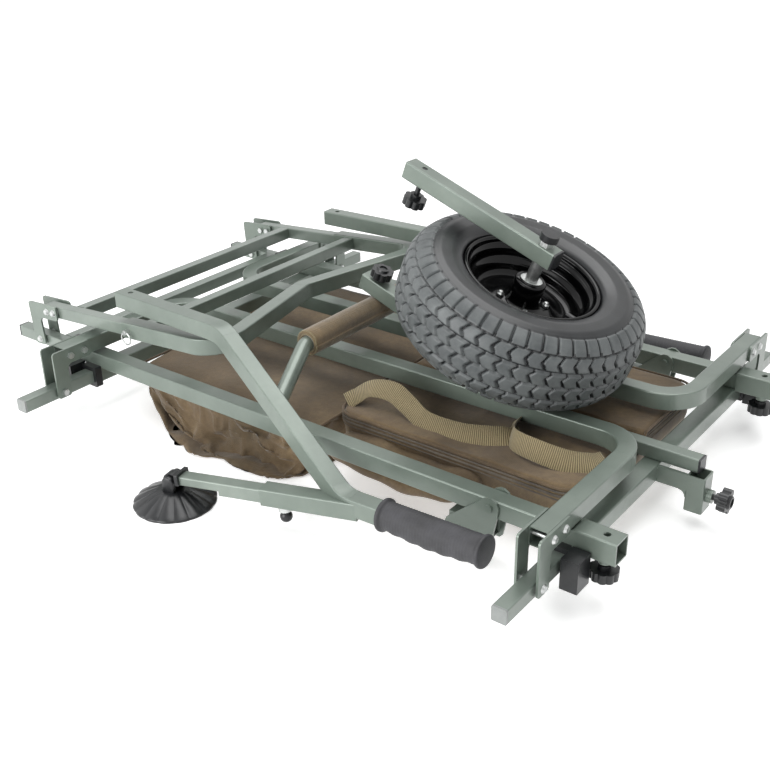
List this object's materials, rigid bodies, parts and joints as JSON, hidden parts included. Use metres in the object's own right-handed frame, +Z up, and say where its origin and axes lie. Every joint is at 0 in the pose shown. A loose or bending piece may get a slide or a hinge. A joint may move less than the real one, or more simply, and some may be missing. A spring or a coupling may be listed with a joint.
{
  "type": "fishing_trolley",
  "caption": "Single-wheel folding carp fishing trolley, packed flat, with tubular bed, folded side frames and rack, canvas bags, and wheel and handle sets laid on top",
  "frame": {"origin": "Under the middle of the packed trolley, on the ground", "axes": "+X along the rails toward the end with the handle sockets, +Y across the bed to the far rail, +Z up"},
  "size_m": [1.143, 0.889, 0.4124],
  "materials": {
    "paint": "satin grey-green paint on steel tube",
    "paint_inner": "satin grey-green paint on the sliding tubes",
    "zinc": "zinc plated steel",
    "black_plastic": "moulded black nylon",
    "grey_plastic": "grey plastic tube caps",
    "brown_fabric": "coated brown canvas",
    "webbing": "khaki woven webbing",
    "tyre": "dark grey ribbed tyre",
    "rim_paint": "gloss black moulded rim",
    "grip_rubber": "soft charcoal rubber"
  },
  "bodies": {
    "bed": {"near_rail": "paint", "far_rail": "paint", "left_cross_bar": "paint", "right_cross_bar": "paint", "corner_sockets": "paint", "centre_socket": "paint", "centre_pole": "paint", "tube_collars": "black_plastic", "under_bag": "brown_fabric", "flat_bag": "brown_fabric", "bag_handles": "webbing"},
    "near_slide_body": {"near_slide": "paint_inner", "near_slide_caps": "grey_plastic"},
    "near_frame": {"near_hoop": "paint", "near_plates": "paint", "near_bolts": "zinc"},
    "far_slide_body": {"far_slide": "paint_inner", "far_slide_caps": "grey_plastic"},
    "far_frame": {"far_hoop": "paint", "far_plates": "paint", "far_bolts": "zinc"},
    "rack_slide_body": {"rack_slide": "paint_inner", "rack_slide_caps": "black_plastic"},
    "rack_frame": {"rack_legs": "paint_inner", "rack_plates": "paint", "rack_bolts": "zinc"},
    "rack_hoop_body": {"rack_hoop": "paint", "ring_pins": "zinc"},
    "handle_set": {"near_handle": "paint", "far_handle": "paint", "brace": "paint", "brace_pad": "brown_fabric", "grips": "grip_rubber", "handle_fittings": "zinc"},
    "near_leg_body": {"near_leg": "paint_inner", "near_knuckle": "black_plastic"},
    "near_foot_body": {"near_foot": "black_plastic"},
    "near_plunger_body": {"near_plunger": "black_plastic"},
    "far_leg_body": {"far_leg": "paint_inner", "far_knuckle": "black_plastic"},
    "far_foot_body": {"far_foot": "black_plastic"},
    "far_plunger_body": {"far_plunger": "black_plastic"},
    "wheel_fork": {"upper_arm": "paint", "lower_arm": "paint", "axle": "zinc", "arm_caps": "black_plastic"},
    "wheel": {"tyre": "tyre", "rim": "rim_paint", "bearings": "zinc", "valve": "black_plastic"},
    "socket_knob_body": {"socket_knob": "black_plastic"},
    "near_corner_knob_body": {"near_corner_knob": "black_plastic"},
    "far_corner_knob_body": {"far_corner_knob": "black_plastic"},
    "upper_arm_knob_body": {"upper_arm_knob": "black_plastic"},
    "lower_arm_knob_body": {"lower_arm_knob": "black_plastic"},
    "axle_knob_body": {"axle_knob": "black_plastic"},
    "near_leg_socket_body": {"near_leg_socket": "paint"},
    "far_leg_socket_body": {"far_leg_socket": "paint"}
  },
  "joints": [
    {"name": "near_slide_out", "type": "slide", "parent": "bed", "child": "near_slide_body", "axis": [0, -1, 0], "range_m": [0, 0.1]},
    {"name": "near_frame_fold", "type": "hinge", "parent": "near_slide_body", "child": "near_frame", "pos_m": [0.461, -0.335, 0.0625], "axis": [1, 0, 0], "range_deg": [0, 90]},
    {"name": "far_slide_out", "type": "slide", "parent": "bed", "child": "far_slide_body", "axis": [0, 1, 0], "range_m": [0, 0.1]},
    {"name": "far_frame_fold", "type": "hinge", "parent": "far_slide_body", "child": "far_frame", "pos_m": [0.461, 0.335, 0.0625], "axis": [-1, 0, 0], "range_deg": [0, 90]},
    {"name": "rack_slide_out", "type": "slide", "parent": "bed", "child": "rack_slide_body", "axis": [-1, 0, 0], "range_m": [0, 0.15]},
    {"name": "rack_fold", "type": "hinge", "parent": "rack_slide_body", "child": "rack_frame", "pos_m": [-0.5085, 0, 0.09], "axis": [0, -1, 0], "range_deg": [0, 100]},
    {"name": "rack_hoop_slide", "type": "slide", "parent": "rack_frame", "child": "rack_hoop_body", "axis": [-0.9973, 0, -0.0732], "range_m": [0, 0.09]},
    {"name": "handle_lift", "type": "slide", "parent": "bed", "child": "handle_set", "axis": [0, 0, 1], "range_m": [0, 0.85]},
    {"name": "wheel_lift", "type": "slide", "parent": "handle_set", "child": "wheel_fork", "axis": [0, 0, 1], "range_m": [0, 0.3]},
    {"name": "wheel_spin", "type": "hinge", "parent": "wheel_fork", "child": "wheel", "pos_m": [0.2385, 0, 0.2333], "axis": [0.3502, 0, 0.9367], "continuous": true},
    {"name": "near_leg_slide", "type": "slide", "parent": "handle_set", "child": "near_leg_body", "axis": [-0.9726, -0.2169, -0.084], "range_m": [0, 0.1]},
    {"name": "near_foot_tilt", "type": "hinge", "parent": "near_leg_body", "child": "near_foot_body", "pos_m": [-0.07166, -0.38604, 0.03599], "axis": [-0.2177, 0.976, 0], "range_deg": [-30, 30]},
    {"name": "near_plunger_pull", "type": "slide", "parent": "handle_set", "child": "near_plunger_body", "axis": [0.0819, 0.0183, -0.9965], "range_m": [0, 0.008], "stiffness_N_per_m": 500, "springref_m": -0.0005},
    {"name": "near_corner_knob_turn", "type": "hinge", "parent": "bed", "child": "near_corner_knob_body", "pos_m": [0.5095, -0.2515, 0.0565], "axis": [0, 0, 1], "continuous": true},
    {"name": "near_leg_socket_swing", "type": "hinge", "parent": "bed", "child": "near_leg_socket_body", "pos_m": [0.3615, -0.2515, 0.09], "axis": [0, -1, 0], "range_deg": [0, 50]},
    {"name": "far_leg_slide", "type": "slide", "parent": "handle_set", "child": "far_leg_body", "axis": [-0.9726, 0.2169, -0.084], "range_m": [0, 0.1]},
    {"name": "far_foot_tilt", "type": "hinge", "parent": "far_leg_body", "child": "far_foot_body", "pos_m": [-0.07166, 0.38604, 0.03599], "axis": [-0.2177, -0.976, 0], "range_deg": [-30, 30]},
    {"name": "far_plunger_pull", "type": "slide", "parent": "handle_set", "child": "far_plunger_body", "axis": [0.0819, -0.0183, -0.9965], "range_m": [0, 0.008], "stiffness_N_per_m": 500, "springref_m": -0.0005},
    {"name": "far_corner_knob_turn", "type": "hinge", "parent": "bed", "child": "far_corner_knob_body", "pos_m": [0.5095, 0.2515, 0.0565], "axis": [0, 0, 1], "continuous": true},
    {"name": "far_leg_socket_swing", "type": "hinge", "parent": "bed", "child": "far_leg_socket_body", "pos_m": [0.3615, 0.2515, 0.09], "axis": [0, -1, 0], "range_deg": [0, 50]},
    {"name": "socket_knob_turn", "type": "hinge", "parent": "bed", "child": "socket_knob_body", "pos_m": [0.5565, -0.017, 0.045], "axis": [1, 0, 0], "continuous": true},
    {"name": "upper_arm_knob_turn", "type": "hinge", "parent": "wheel_fork", "child": "upper_arm_knob_body", "pos_m": [0.07332, 0, 0.39114], "axis": [0.3502, 0, 0.9367], "continuous": true},
    {"name": "lower_arm_knob_turn", "type": "hinge", "parent": "wheel_fork", "child": "lower_arm_knob_body", "pos_m": [-0.01054, 0, 0.20684], "axis": [0.3502, 0, 0.9367], "continuous": true},
    {"name": "axle_knob_turn", "type": "hinge", "parent": "wheel_fork", "child": "axle_knob_body", "pos_m": [0.27002, 0, 0.3176], "axis": [0.3502, 0, 0.9367], "continuous": true}
  ],
  "couplings": [
    {"joint": "near_frame_fold", "follows": "handle_lift", "rad_per_m": 1.8478},
    {"joint": "far_frame_fold", "follows": "handle_lift", "rad_per_m": 1.8478},
    {"joint": "rack_fold", "follows": "handle_lift", "rad_per_m": 2.0531}
  ]
}
